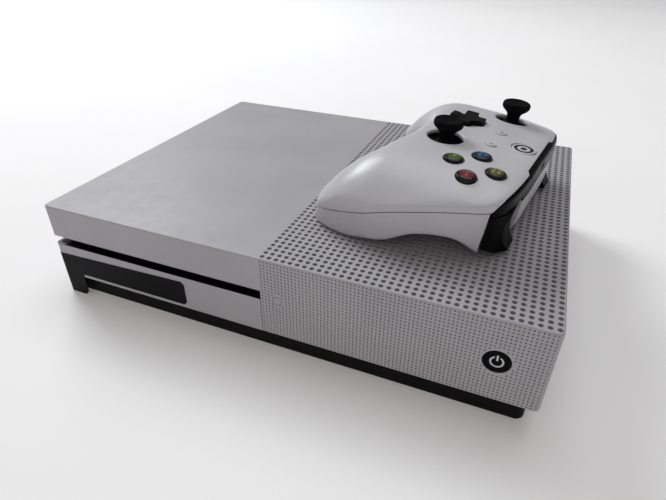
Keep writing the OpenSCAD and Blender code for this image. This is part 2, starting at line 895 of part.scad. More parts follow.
module trigger(side) {
  py = trigger_pivot[0];
  pz = trigger_pivot[1];
  color(black)
    on_pad()
      mirror([side < 0 ? 1 : 0, 0, 0]) {
        difference() {
          intersection() {
            translate([30, 0, 0])
              rotate([90, 0, 90])
                linear_extrude(40)
                  polygon([[bay_y + 0.45, -10], [10.4, -10], [10.9, -13.4], [9.9, -19], [9.6, -25], [10.6, -30],
                    [12.8, -33.6], [14, -34.8], [13.4, -35.9], [10.6, -36.8], [8, -37.4], [bay_y - 0.8, -37.6],
                    [bay_y - 0.5, -33], [bay_y + 0.1, -23], [bay_y + 0.45, -12]]);
            translate([0, 30, 0])
              rotate([90, 0, 0])
                linear_extrude(40)
                  polygon([[38.6, -10.8], [44, -11.4], [53, -14], [61, -14.8], [61, -27], [59.9, -31.2], [57.8, -34.4],
                    [54.6, -36.6], [50, -37.6], [38.6, -37.6], [37.4, -36], [37.4, -24]]);
            translate([0, 0, -50])
              linear_extrude(50)
                polygon([[30, -5], [61, -5], [61, 2.9], [58.4, 5.8], [54, 8.4], [51, 10.4], [49.6, 12.6], [48.8, 15],
                  [48.4, 18.5], [30, 18.5]]);
          }
          block([41, 0, -35], [46, 7.9, -16]);
          block([47.5, 0, -30], [53, 7.9, -16]);
        }
        for (x = [41.4, 52])
          block([x, py - 1.6, -18], [x + 2.4, py + 1.6, pz]);
        side_rod(3.4, 41.4, 54.4, py, pz);
      }
}

module trigger_left() {
  trigger(-1);
}

module trigger_right() {
  trigger(1);
}

// ---- controller buttons --------------------------------------------------------------------------
module face_button(a, tint) {
  xy = keys_xy + face_reach * [cos(a), sin(a)];
  z = face_z(xy[0], xy[1]);
  proud = 1.7;
  dome_r = 13;
  color(tint)
    on_pad()
      translate([xy[0], xy[1], z]) {
        intersection() {
          translate([0, 0, -5])
            cylinder(d = face_d, h = 11);
          translate([0, 0, proud - dome_r])
            sphere(r = dome_r);
        }
        translate([0, 0, -6.1])
          cylinder(d = face_d + 1.6, h = 1.3);
        translate([0, 0, board_z + 1.8 - z])
          cylinder(d = 4, h = -5.6 - board_z - 1.8 + z);
      }
}

module button_down() {
  face_button(270, [0.2, 0.55, 0.25]);
}

module button_right() {
  face_button(0, [0.7, 0.15, 0.15]);
}

module button_left() {
  face_button(180, [0.15, 0.4, 0.65]);
}

module button_up() {
  face_button(90, [0.75, 0.65, 0.15]);
}

module flat_button(xy, d, proud, tint) {
  z = face_z(xy[0], xy[1]);
  color(tint)
    on_pad()
      translate([xy[0], xy[1], z]) {
        translate([0, 0, -4])
          cylinder(d = d, h = 4 + proud);
        translate([0, 0, -4.6])
          cylinder(d = d + 1.6, h = 0.8);
        translate([0, 0, board_z + 1 - z])
          cylinder(d = min(d - 1, 5), h = -4.4 - board_z - 1 + z);
      }
}

module home_button() {
  flat_button(home_xy, home_d, 0, white);
}

module view_button() {
  flat_button(view_xy, small_d, 0.5, white);
}

module menu_button() {
  flat_button(menu_xy, small_d, 0.5, white);
}

module dpad_rocker() {
  color([0.25, 0.25, 0.26])
    on_pad()
      translate([dpad_xy[0], dpad_xy[1], 0]) {
        translate([0, 0, -8.2])
          cylinder(d = 16, h = 1.2);
        translate([0, 0, -10])
          cylinder(d = 5, h = 2);
      }
}

module dpad_cross() {
  arm_w = 7.2;
  color(black)
    on_pad()
      translate([dpad_xy[0], dpad_xy[1], 0])
        difference() {
          union() {
            translate([0, 0, -5.4])
              linear_extrude(8.8)
                cross_plate(dpad_span, arm_w);
            translate([0, 0, -6.8])
              cylinder(d = 5, h = 2);
          }
          translate([0, 0, 23.6])
            sphere(r = 21.6, $fn = 96);
        }
}

// ---- thumbsticks ---------------------------------------------------------------------------------
module at_stick(xy) {
  on_pad()
    translate([xy[0], xy[1], stick_pivot_z])
      children();
}

module stick_base(xy) {
  half = 8.5;
  color([0.3, 0.3, 0.31])
    at_stick(xy)
      difference() {
        block([-half, -half, board_z - stick_pivot_z], [half, half, 3]);
        block([-half + 1.3, -half + 1.3, board_z - stick_pivot_z + 0.8], [half - 1.3, half - 1.3, 4]);
        side_rod(2.1, -half - 1, half + 1, 0, 0);
      }
}

module stick_yoke(xy) {
  color(steel)
    at_stick(xy) {
      difference() {
        translate([0, 0, -1.5])
          cylinder(r = 6.3, h = 3);
        translate([0, 0, -2])
          cylinder(r = 4.4, h = 4);
        rotate([90, 0, 0])
          translate([0, 0, -8])
            cylinder(d = 1.7, h = 16);
      }
      side_rod(2, -8.3, -5.4, 0, 0);
      side_rod(2, 5.4, 8.3, 0, 0);
    }
}

module stick_shaft(xy) {
  color(steel)
    at_stick(xy) {
      sphere(r = 3);
      rotate([90, 0, 0])
        translate([0, 0, -6])
          cylinder(d = 1.6, h = 12);
      cylinder(d = 4, h = 17.3);
    }
}

module stick_cap(xy) {
  dome_out = 11.6;
  dome_in = 10.4;
  dome_angle = 46;
  bore_r = 2.05;
  cap_r = stick_cap_d / 2;
  outer_arc = [for (a = [dome_angle : -4 : 24]) dome_out * [sin(a), cos(a)]];
  inner_arc = [for (a = [12 : 4 : dome_angle]) dome_in * [sin(a), cos(a)]];
  color(black)
    at_stick(xy)
      rotate_extrude($fn = 64)
        polygon(concat(
          [[0, 18], [bore_r, 18], [bore_r, dome_in]], inner_arc, outer_arc,
          [[4.2, 11.4], [3.9, 13.4], [4.4, 15.8], [6.2, 17.6], [7.5, 18.8], [cap_r, 20], [cap_r, 21.9],
            [cap_r - 0.6, 22.9], [cap_r - 1.7, 23.2], [cap_r - 2.9, 22.6], [0, 22]]));
}

module stick_left_base() {
  stick_base(stick_left_xy);
}

module stick_left_yoke() {
  stick_yoke(stick_left_xy);
}

module stick_left_shaft() {
  stick_shaft(stick_left_xy);
}

module stick_left_cap() {
  stick_cap(stick_left_xy);
}

module stick_right_base() {
  stick_base(stick_right_xy);
}

module stick_right_yoke() {
  stick_yoke(stick_right_xy);
}

module stick_right_shaft() {
  stick_shaft(stick_right_xy);
}

module stick_right_cap() {
  stick_cap(stick_right_xy);
}

// ---- inside the controller -----------------------------------------------------------------------
module pad_board() {
  board_t = 1.2;
  color(board_green)
    on_pad() {
      block([-60, -49.4, board_z - board_t], [60, -9.4, board_z]);
      block([-31, -10.5, board_z - board_t], [31, 6, board_z]);
      translate([dpad_xy[0], dpad_xy[1], board_z - 0.1])
        cylinder(d = 4, h = 7.6);
    }
}

module rumble_motors() {
  color(steel)
    on_pad()
      for (side = [-1, 1])
        mirror([side < 0 ? 1 : 0, 0, 0]) {
          side_rod(13, 50, 63.6, rumble_yz[0], rumble_yz[1]);
          side_rod(2, 42, 50.5, rumble_yz[0], rumble_yz[1]);
        }
}

module rumble_weight(side) {
  weight_r = 10;
  color([0.5, 0.5, 0.5])
    on_pad()
      mirror([side < 0 ? 1 : 0, 0, 0])
        translate([42, rumble_yz[0], rumble_yz[1]])
          rotate([90, 0, 90])
            linear_extrude(6)
              difference() {
                union() {
                  intersection() {
                    circle(r = weight_r);
                    translate([-weight_r, -weight_r])
                      square([2 * weight_r, weight_r]);
                  }
                  circle(r = 3);
                }
                circle(r = 1.05);
              }
}

module rumble_weight_left() {
  rumble_weight(-1);
}

module rumble_weight_right() {
  rumble_weight(1);
}

upper_shell();
top_grille();
lower_panel();
slot_bezel();
base_cover();
rubber_feet();
rear_panel();
power_inlet();
hdmi_ports();
usb_ports();
ethernet_port();
power_button();
power_light();
eject_button();
corner_label();
chassis_plate();
mainboard();
heatsink();
fan_housing();
fan_rotor();
power_supply();
hard_drive();
optical_drive();
disc_hub();
laser_sled();
lead_screw();
feed_roller();
case_screws();
front_shell();
back_shell();
grip_left();
grip_right();
battery_door();
batteries();
bumper_bridge();
bumper_left();
bumper_right();
trigger_left();
trigger_right();
button_down();
button_right();
button_left();
button_up();
home_button();
view_button();
menu_button();
dpad_rocker();
dpad_cross();
stick_left_base();
stick_left_yoke();
stick_left_shaft();
stick_left_cap();
stick_right_base();
stick_right_yoke();
stick_right_shaft();
stick_right_cap();
pad_board();
rumble_motors();
rumble_weight_left();
rumble_weight_right();
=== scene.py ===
"""Looks of the game console and its hand controller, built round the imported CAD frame."""

import math

import bpy
import numpy as np
from mathutils import Matrix, Vector


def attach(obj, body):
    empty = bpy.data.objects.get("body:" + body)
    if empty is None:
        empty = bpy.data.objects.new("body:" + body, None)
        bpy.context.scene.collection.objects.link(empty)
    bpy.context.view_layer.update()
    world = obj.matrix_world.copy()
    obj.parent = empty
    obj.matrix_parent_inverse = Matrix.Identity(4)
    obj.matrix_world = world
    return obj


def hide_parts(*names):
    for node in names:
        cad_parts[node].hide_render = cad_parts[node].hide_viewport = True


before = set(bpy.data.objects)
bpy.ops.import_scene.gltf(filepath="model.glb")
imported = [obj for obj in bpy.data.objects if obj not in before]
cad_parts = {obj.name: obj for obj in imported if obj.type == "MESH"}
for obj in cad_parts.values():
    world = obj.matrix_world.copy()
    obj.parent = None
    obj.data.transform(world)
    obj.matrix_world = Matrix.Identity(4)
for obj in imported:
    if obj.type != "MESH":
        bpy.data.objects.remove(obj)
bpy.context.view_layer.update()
scene = bpy.context.scene

MM = 0.001
METRES = Matrix.Scale(MM, 4)  # shapes are made in millimetres
# the controller's own frame: it lies turned and slightly tipped on the lid
PAD = (
    Matrix.Translation((0.1143, -0.0124, 0.104))
    @ Matrix.Rotation(math.radians(-99.2), 4, "Z")
    @ Matrix.Rotation(math.radians(-5.0), 4, "X")
)
PAD_MM = PAD @ METRES


# ---- mesh helpers ---------------------------------------------------------------------------------
def add_mesh(name, points, faces):
    mesh = bpy.data.meshes.new(name)
    mesh.from_pydata([tuple(map(float, p)) for p in points], [], faces)
    mesh.update()
    obj = bpy.data.objects.new(name, mesh)
    scene.collection.objects.link(obj)
    return obj


def side_faces(first, rings, around):
    """Faces between rings of so many points each, counted from the point numbered first."""
    faces = []
    for i in range(rings - 1):
        low, high = first + i * around, first + (i + 1) * around
        for j in range(around):
            k = (j + 1) % around
            faces.append((low + j, low + k, high + k, high + j))
    return faces


def loft(name, rings, start=None, end=None):
    """Closed solid through rings of equally many points; start and end are tips, or None for flat ends."""
    m = len(rings[0])
    points = [p for ring in rings for p in ring]
    faces = side_faces(0, len(rings), m)
    last = (len(rings) - 1) * m
    if start is None:
        faces.append(tuple(range(m - 1, -1, -1)))
    else:
        points.append(start)
        faces += [(len(points) - 1, (j + 1) % m, j) for j in range(m)]
    if end is None:
        faces.append(tuple(last + j for j in range(m)))
    else:
        points.append(end)
        faces += [(len(points) - 1, last + j, last + (j + 1) % m) for j in range(m)]
    return add_mesh(name, points, faces)


def block(low, high):
    """Upright box between two opposite corners."""
    x0, y0, z0 = low
    x1, y1, z1 = high
    base = [(x0, y0), (x1, y0), (x1, y1), (x0, y1)]
    return loft("tool", [[(x, y, z) for x, y in base] for z in (z0, z1)])


def side_block(x0, x1, y0, y1, z0, z1):
    """Box on either side of the middle, with its X limits in any order."""
    return block((min(x0, x1), y0, z0), (max(x0, x1), y1, z1))


def circle(r, n):
    return [(r * math.cos(2 * math.pi * j / n), r * math.sin(2 * math.pi * j / n)) for j in range(n)]


def many(name, solids):
    """One mesh of separate lofts, given as lists of rings."""
    points, faces = [], []
    for rings in solids:
        at, m = len(points), len(rings[0])
        last = at + (len(rings) - 1) * m
        points += [p for ring in rings for p in ring]
        faces += side_faces(at, len(rings), m)
        faces.append(tuple(at + j for j in range(m - 1, -1, -1)))
        faces.append(tuple(last + j for j in range(m)))
    return add_mesh(name, points, faces)


def turns_left(outline):
    """True for an outline that runs counter-clockwise."""
    return sum(a[0] * b[1] - b[0] * a[1] for a, b in zip(outline, outline[1:] + outline[:1])) > 0


def prism_x(outline, x0, x1):
    """Solid with an outline in Y and Z, drawn out along X."""
    ring = outline if turns_left(outline) else outline[::-1]
    return loft("tool", [[(x, y, z) for y, z in ring] for x in (x0, x1)])


def prism_y(outline, y0, y1):
    """Solid with an outline in X and Z, drawn out along Y."""
    ring = outline[::-1] if turns_left(outline) else outline
    return loft("tool", [[(x, y, z) for x, z in ring] for y in (y0, y1)])


def front_rod(x, z, d, y0, y1):
    """Round rod that runs from front to back."""
    return prism_y([(x + a, z + b) for a, b in circle(d / 2, 64)], y0, y1)


def apply_modifiers(obj):
    """Makes the result of the modifiers the object's own mesh."""
    graph = bpy.context.evaluated_depsgraph_get()
    mesh = bpy.data.meshes.new_from_object(obj.evaluated_get(graph), depsgraph=graph)
    old = obj.data
    obj.modifiers.clear()
    obj.data = mesh
    bpy.data.meshes.remove(old)


def carve(obj, tools, operation="DIFFERENCE"):
    """Cuts the object with each tool in turn, or keeps what they share, and removes the tools."""
    for tool in tools:
        modifier = obj.modifiers.new("carve", "BOOLEAN")
        modifier.operation = operation
        modifier.solver = "MANIFOLD"
        modifier.object = tool
    apply_modifiers(obj)
    for tool in tools:
        bpy.data.objects.remove(tool)
    return obj


def soften(obj, width):
    """Rounds the object's corners."""
    modifier = obj.modifiers.new("soften", "BEVEL")
    modifier.width = width
    modifier.segments = 3
    modifier.limit_method = "ANGLE"
    modifier.angle_limit = math.radians(35)
    modifier.use_clamp_overlap = True
    apply_modifiers(obj)
    return obj


def smooth(obj, angle=35, weighted=True):
    """Smooth shading with creases at edges sharper than the angle; big faces lead where weighted."""
    mesh = obj.data
    mesh.polygons.foreach_set("use_smooth", [True] * len(mesh.polygons))
    mesh.set_sharp_from_angle(angle=math.radians(angle))
    if weighted:
        modifier = obj.modifiers.new("normals", "WEIGHTED_NORMAL")
        modifier.keep_sharp = True
        modifier.weight = 60
        apply_modifiers(obj)
    return obj


def hand_over(obj, name, body, material, nodes):
    """Names and paints a finished piece and hands it to its body in place of the CAD nodes."""
    obj.name = name
    obj.data.materials.clear()
    obj.data.materials.append(material)
    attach(obj, body)
    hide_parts(*nodes)
    return obj


def place(obj, name, body, material, nodes, matrix=PAD_MM):
    """Puts a shape made in the controller's frame, or in the one of matrix, where it belongs."""
    obj.data.transform(matrix)
    return hand_over(obj, name, body, material, nodes)


def place_local(obj, name, body, material, nodes, centre):
    """As place(), but keeps the piece's own origin at its centre on the controller's face."""
    obj.data.transform(METRES)
    obj.matrix_world = PAD @ Matrix.Translation(Vector(centre) * MM)
    return hand_over(obj, name, body, material, nodes)


# ---- materials ------------------------------------------------------------------------------------
def srgb(r, g, b):
    """Linear colour from screen values of 0 to 255."""
    return tuple(
        (c / 255 / 12.92) if c <= 10.31 else (((c / 255) + 0.055) / 1.055) ** 2.4 for c in (r, g, b)
    ) + (1.0,)


class Nodes:
    """Short names for building a material's nodes."""

    def __init__(self, name):
        self.material = bpy.data.materials.new(name)
        self.material.use_nodes = True
        self.tree = self.material.node_tree
        self.shader = self.tree.nodes["Principled BSDF"]
        self.coords = self.add("ShaderNodeTexCoord").outputs["Object"]

    def add(self, kind):
        return self.tree.nodes.new(kind)

    def link(self, source, target):
        self.tree.links.new(source, target)

    def math(self, operation, a, b=None):
        node = self.add("ShaderNodeMath")
        node.operation = operation
        for socket, value in zip(node.inputs, (a, b)):
            if isinstance(value, (int, float)):
                socket.default_value = value
            elif value is not None:
                self.link(value, socket)
        return node.outputs[0]

    def noise(self, scale, detail=4.0, roughness=0.55, stretch=None):
        """Cloudy noise over the piece, drawn out along an axis where stretch is given."""
        node = self.add("ShaderNodeTexNoise")
        node.inputs["Scale"].default_value = scale
        node.inputs["Detail"].default_value = detail
        node.inputs["Roughness"].default_value = roughness
        source = self.coords
        if stretch:
            mapping = self.add("ShaderNodeMapping")
            mapping.inputs["Scale"].default_value = stretch
            self.link(source, mapping.inputs["Vector"])
            source = mapping.outputs[0]
        self.link(source, node.inputs["Vector"])
        return node.outputs[0]

    def spread(self, value, low, high, out_low, out_high):
        """Smooth step from out_low to out_high while value goes from low to high."""
        node = self.add("ShaderNodeMapRange")
        node.interpolation_type = "SMOOTHSTEP"
        node.inputs["From Min"].default_value = low
        node.inputs["From Max"].default_value = high
        node.inputs["To Min"].default_value = out_low
        node.inputs["To Max"].default_value = out_high
        self.link(value, node.inputs["Value"])
        return node.outputs["Result"]

    def blend(self, mask, a, b):
        """Colour a where mask is 0 and b where it is 1."""
        node = self.add("ShaderNodeMix")
        node.data_type = "RGBA"
        self.link(mask, node.inputs["Factor"])
        for socket, value in zip((node.inputs[6], node.inputs[7]), (a, b)):
            if isinstance(value, tuple):
                socket.default_value = value
            else:
                self.link(value, socket)
        return node.outputs[2]

    def bump(self, height, strength, distance, before=None):
        node = self.add("ShaderNodeBump")
        node.inputs["Strength"].default_value = strength
        node.inputs["Distance"].default_value = distance
        self.link(height, node.inputs["Height"])
        if before is not None:
            self.link(before, node.inputs["Normal"])
        return node.outputs[0]

    def rounded(self, radius):
        """Normal that looks as if the edges were rounded."""
        node = self.add("ShaderNodeBevel")
        node.samples = 6
        node.inputs["Radius"].default_value = radius
        return node.outputs[0]

    def axes(self):
        """Object coordinates, with one output for each axis."""
        split = self.add("ShaderNodeSeparateXYZ")
        self.link(self.coords, split.inputs[0])
        return split.outputs

    def upward(self):
        """1 on faces that look up, 0 on the others."""
        split = self.add("ShaderNodeSeparateXYZ")
        self.link(self.add("ShaderNodeNewGeometry").outputs["True Normal"], split.inputs[0])
        return self.spread(split.outputs[2], 0.6, 0.9, 0.0, 1.0)

    def disc(self, cx, cy, r, edge=0.00012):
        """1 inside a disc round (cx, cy) of the local face, 0 outside."""
        x, y, _ = self.axes()
        dx, dy = self.math("SUBTRACT", x, cx), self.math("SUBTRACT", y, cy)
        squares = self.math("MULTIPLY", dx, dx), self.math("MULTIPLY", dy, dy)
        far = self.math("SQRT", self.math("ADD", *squares))
        return self.spread(far, r - edge, r + edge, 1.0, 0.0)

    def bar(self, cx, cy, half_w, half_h, edge=0.00008):
        """1 inside a rectangle round (cx, cy) of the local face, 0 outside."""
        x, y, _ = self.axes()
        dx = self.math("ABSOLUTE", self.math("SUBTRACT", x, cx))
        dy = self.math("ABSOLUTE", self.math("SUBTRACT", y, cy))
        return self.math(
            "MULTIPLY",
            self.spread(dx, half_w - edge, half_w + edge, 1.0, 0.0),
            self.spread(dy, half_h - edge, half_h + edge, 1.0, 0.0),
        )


def plastic_nodes(name, low, high, rough, grain, edge=0.0004, specular=0.5, ledge=None):
    """Moulded plastic: colour drifts from low to high, and gloss is uneven within rough.

    grain is the depth of its texture and edge the radius of its edges, in metres. ledge colours the
    faces that look up.
    """
    n = Nodes(name)
    drift = n.noise(18.0, 3.0)
    base = n.blend(n.spread(drift, 0.3, 0.7, 0.0, 1.0), low, high)
    if ledge:
        base = n.blend(n.upward(), base, ledge)
    n.link(base, n.shader.inputs["Base Color"])
    wear = n.noise(108.0, 5.0, 0.65)
    n.link(n.spread(wear, 0.3, 0.75, rough[0], rough[1]), n.shader.inputs["Roughness"])
    height = n.noise(2600.0, 2.0, 0.5)
    before = n.rounded(edge) if edge else None
    n.link(n.bump(height, 0.35, grain, before), n.shader.inputs["Normal"])
    n.shader.inputs["Specular IOR Level"].default_value = specular
    return n


def plastic(*values, **options):
    """As plastic_nodes(), but gives the finished material."""
    return plastic_nodes(*values, **options).material


def metal(name, low, high, rough, stretch):
    """Rolled or drawn metal with fine lines along one axis."""
    n = Nodes(name)
    lines = n.noise(90.0, 6.0, 0.6, stretch)
    n.link(n.blend(n.spread(lines, 0.3, 0.7, 0.0, 1.0), low, high), n.shader.inputs["Base Color"])
    n.link(n.spread(lines, 0.3, 0.7, rough[0], rough[1]), n.shader.inputs["Roughness"])
    n.link(n.bump(lines, 0.2, 0.00003), n.shader.inputs["Normal"])
    n.shader.inputs["Metallic"].default_value = 1.0
    return n.material


CASE_TINTS = srgb(176, 175, 179), srgb(183, 181, 185)
PAD_TINTS = srgb(208, 208, 213), srgb(214, 214, 218)
CASE_ROUGH, PAD_ROUGH = (0.42, 0.52), (0.27, 0.36)
INK_BLACK, INK_GREY = srgb(12, 12, 14), srgb(110, 112, 118)

case_white = plastic("case_white", *CASE_TINTS, CASE_ROUGH, 0.00002, specular=0.35)
panel_white = plastic("panel_white", *CASE_TINTS, CASE_ROUGH, 0.00002, specular=0.35, ledge=srgb(14, 10, 11))
# painted shade: a darker grey for the walls of the front's dimples, standing in for the shade inside the fine
# pits
dimple_shade = plastic("dimple_shade", srgb(140, 136, 137), srgb(150, 146, 147), (0.6, 0.75), 0.00002, edge=0)
pad_white = plastic("pad_white", *PAD_TINTS, PAD_ROUGH, 0.00001, edge=0.0003)
base_black = plastic("base_black", srgb(10, 9, 10), srgb(15, 13, 14), (0.5, 0.66), 0.00003, specular=0.12)
groove_black = plastic("groove_black", srgb(10, 7, 8), srgb(15, 11, 12), (0.5, 0.7), 0.00002, specular=0.12)
gloss_black = plastic("gloss_black", srgb(7, 7, 10), srgb(11, 11, 14), (0.26, 0.36), 0.000004, specular=0.04)
cross_black = plastic("cross_black", srgb(9, 9, 11), srgb(14, 14, 16), (0.42, 0.55), 0.00001, specular=0.12)
trigger_black = plastic("trigger_black", srgb(9, 9, 12), srgb(14, 14, 17), (0.4, 0.52), 0.00001, specular=0.06)
inner_black = plastic("inner_black", srgb(32, 32, 34), srgb(42, 42, 44), (0.45, 0.6), 0.00003)
rubber_black = plastic("rubber_black", srgb(10, 10, 13), srgb(15, 15, 18), (0.6, 0.78), 0.00004, specular=0.05)
foot_rubber = plastic("foot_rubber", srgb(38, 38, 38), srgb(50, 50, 49), (0.75, 0.9), 0.00006, specular=0.3)
light_mark = plastic("light_mark", srgb(205, 207, 212), srgb(214, 215, 220), (0.25, 0.35), 0.000004)
cell_wrap = plastic("cell_wrap", srgb(196, 140, 60), srgb(208, 152, 70), (0.22, 0.34), 0.000004)
steel_sheet = metal("steel_sheet", srgb(176, 178, 182), srgb(205, 206, 209), (0.28, 0.42), (1, 22, 1))
heat_metal = metal("heat_metal", srgb(196, 198, 202), srgb(222, 223, 226), (0.3, 0.45), (22, 1, 22))
motor_steel = metal("motor_steel", srgb(160, 162, 166), srgb(190, 191, 195), (0.3, 0.45), (1, 1, 24))


def board_material():
    """Green circuit board with lighter strips of tracks."""
    n = Nodes("board_green")
    traces = n.noise(420.0, 1.0, 0.3, (1, 6, 1))
    tints = n.blend(n.spread(traces, 0.52, 0.56, 0.0, 1.0), srgb(16, 62, 36), srgb(34, 92, 54))
    n.link(tints, n.shader.inputs["Base Color"])
    n.link(n.spread(traces, 0.4, 0.6, 0.3, 0.45), n.shader.inputs["Roughness"])
    n.link(n.bump(traces, 0.3, 0.00004), n.shader.inputs["Normal"])
    return n.material


def film_material():
    """Black adhesive film with faint pressed lines and slight waves."""
    n = Nodes("film_black")
    streaks = n.noise(60.0, 4.0, 0.6, (1, 1, 9))
    tints = n.blend(n.spread(streaks, 0.35, 0.75, 0.0, 1.0), srgb(7, 7, 10), srgb(20, 20, 26))
    n.link(tints, n.shader.inputs["Base Color"])
    n.link(n.spread(streaks, 0.3, 0.7, 0.36, 0.52), n.shader.inputs["Roughness"])
    n.shader.inputs["Specular IOR Level"].default_value = 0.07
    waves = n.noise(38.0, 2.0)
    n.link(n.bump(waves, 0.3, 0.0003, n.rounded(0.0004)), n.shader.inputs["Normal"])
    return n.material


board_green = board_material()
film_black = film_material()


def key_material(name, tint, bright, pips):
    """Clear-topped dome: black round the rim, a tinted glow in the middle and bright dots at the pips."""
    n = Nodes(name)
    glow = n.disc(0, 0, 0.0037, 0.0011)
    base = n.blend(glow, srgb(12, 12, 13), tint)
    mask = None
    for x, y in pips:
        dot = n.disc(x * MM, y * MM, 0.00082)
        mask = dot if mask is None else n.math("MAXIMUM", mask, dot)
    n.link(n.blend(mask, base, bright), n.shader.inputs["Base Color"])
    n.link(n.spread(n.noise(900.0), 0.3, 0.7, 0.16, 0.24), n.shader.inputs["Roughness"])
    n.shader.inputs["Specular IOR Level"].default_value = 0.25
    return n.material


# the pips' places on a button, in millimetres
ONE, TWO, THREE = [(0, 0)], [(-1.5, 0), (1.5, 0)], [(-1.6, -1), (1.6, -1), (0, 1.7)]
FOUR = [(-1.4, -1.4), (1.4, -1.4), (-1.4, 1.4), (1.4, 1.4)]
key_green = key_material("key_green", srgb(80, 104, 48), srgb(146, 174, 92), ONE)
key_red = key_material("key_red", srgb(124, 38, 50), srgb(194, 94, 102), TWO)
key_blue = key_material("key_blue", srgb(34, 66, 96), srgb(84, 130, 168), THREE)
key_yellow = key_material("key_yellow", srgb(94, 91, 46), srgb(172, 168, 104), FOUR)


def marked_white(name, marks, ink):
    """Controller white with a printed mark made of the given masks."""
    n = plastic_nodes(name, *PAD_TINTS, PAD_ROUGH, 0.00001, edge=0.0003)
    base = n.shader.inputs["Base Color"].links[0].from_socket
    mask = marks(n)
    n.link(n.blend(mask, base, ink), n.shader.inputs["Base Color"])
    return n.material


def ring_mark(n):
    """Ring with a dot in it."""
    outer, inner = n.disc(0, 0, 0.0054), n.disc(0, 0, 0.0036)
    ring = n.math("SUBTRACT", outer, inner)
    return n.math("MAXIMUM", ring, n.disc(0, 0, 0.0018))


def view_mark(n):
    """Two small bars, one above the other and to the side."""
    return n.math("MAXIMUM", n.bar(-0.0005, 0.0004, 0.0008, 0.0005), n.bar(0.0005, -0.0005, 0.0008, 0.0005))


def menu_mark(n):
    """Three thin bars."""
    top, middle, low = (n.bar(0, y, 0.0011, 0.00019) for y in (0.0007, 0, -0.0007))
    return n.math("MAXIMUM", n.math("MAXIMUM", top, middle), low)


home_white = marked_white("home_white", ring_mark, INK_BLACK)
view_white = marked_white("view_white", view_mark, INK_GREY)
menu_white = marked_white("menu_white", menu_mark, INK_GREY)


# ---- console case ---------------------------------------------------------------------------------
CASE_W, CASE_D, CASE_H = 295.0, 230.0, 64.0
BASE_H, WALL, CASE_R = 15.0, 2.2, 3.0
HALF_W, HALF_D = CASE_W / 2, CASE_D / 2
GROOVE_HIGH = 43.4
GRILLE_X0, GRILLE_Z0 = 4.0, 55.0  # the room under the perforated half of the lid
HOLE_PITCH, HOLE_D, COLUMNS, ROWS = 4.0, 2.5, 37, 57
FIRST_X = HALF_W - 2.2 - (COLUMNS - 1) * HOLE_PITCH
FIRST_Y = -(ROWS - 1) * HOLE_PITCH / 2
SIDE_ROWS, SIDE_Z = 12, 17.6
PIT_PITCH, PIT_COLUMNS, PIT_ROWS, PIT_Z = 2.0, 73, 24, 16.6
PIT_MOUTH_R, PIT_END_R, PIT_DEPTH = 0.5, 0.22, 0.45
POWER_X, POWER_Z, POWER_D = 123.6, 39.5, 12.9
EJECT_X, EJECT_D = 10.0, 5.0
BUTTON_GAP, POWER_CLEAR, EJECT_CLEAR = 0.3, 7.9, 3.9  # the gap round a button, and how far dimples stay
TOP_ROUND, LOW_ROUND = 0.8, 0.4
REAR_HALF, REAR_LIP, REAR_DEPTH = 137.0, 7.0, 6.0  # opening for the rear panel
FAR = 400.0  # past the whole console


def rounded_rect(inset, steps=8):
    """Outline of the case seen from above, moved in by inset."""
    r = max(CASE_R - inset, 0.8)
    x, y = HALF_W - inset - r, HALF_D - inset - r
    points = []
    for quarter, (sx, sy) in enumerate(((1, 1), (-1, 1), (-1, -1), (1, -1))):
        for k in range(steps + 1):
            a = math.radians(90 * quarter + 90 * k / steps)
            points.append((sx * x + r * math.cos(a), sy * y + r * math.sin(a)))
    return points


def case_ring(inset, z):
    return [(x, y, z) for x, y in rounded_rect(inset)]


def lid_holes():
    """The holes through the right half of the lid."""
    hole = circle(HOLE_D / 2, 16)
    columns = [FIRST_X + i * HOLE_PITCH for i in range(COLUMNS)]
    spots = [(x, FIRST_Y + j * HOLE_PITCH) for x in columns for j in range(ROWS)]
    low, high = CASE_H - 2.1, CASE_H + 2.0
    return many("tool", [[[(x + a, y + b, z) for a, b in hole] for z in (low, high)] for x, y in spots])


def front_pits():
    """Fine tapered dimples over the right half of the front, clear of the two buttons."""
    mouth, end = circle(PIT_MOUTH_R, 8)[::-1], circle(PIT_END_R, 8)[::-1]
    layers = ((mouth, -0.3), (mouth, 0.0), (end, PIT_DEPTH))
    pits = []
    for i in range(PIT_COLUMNS):
        for j in range(PIT_ROWS):
            x, z = FIRST_X + i * PIT_PITCH, PIT_Z + j * PIT_PITCH
            from_power = math.hypot(x - POWER_X, z - POWER_Z)
            from_eject = math.hypot(x - EJECT_X, z - POWER_Z)
            if from_power > POWER_CLEAR and from_eject > EJECT_CLEAR:
                pits.append([[(x + a, deep - HALF_D, z + b) for a, b in ring] for ring, deep in layers])
    return many("tool", pits)


def side_holes():
    """Blind holes down the right side, on the lid's spacing."""
    hole = circle(HOLE_D / 2, 12)
    columns = [FIRST_Y + j * HOLE_PITCH for j in range(ROWS)]
    spots = [(y, SIDE_Z + k * HOLE_PITCH) for y in columns for k in range(SIDE_ROWS)]
    low, high = HALF_W - 1.0, HALF_W + 1.0
    return many("tool", [[[(x, y + a, z + b) for a, b in hole] for x in (low, high)] for y, z in spots])


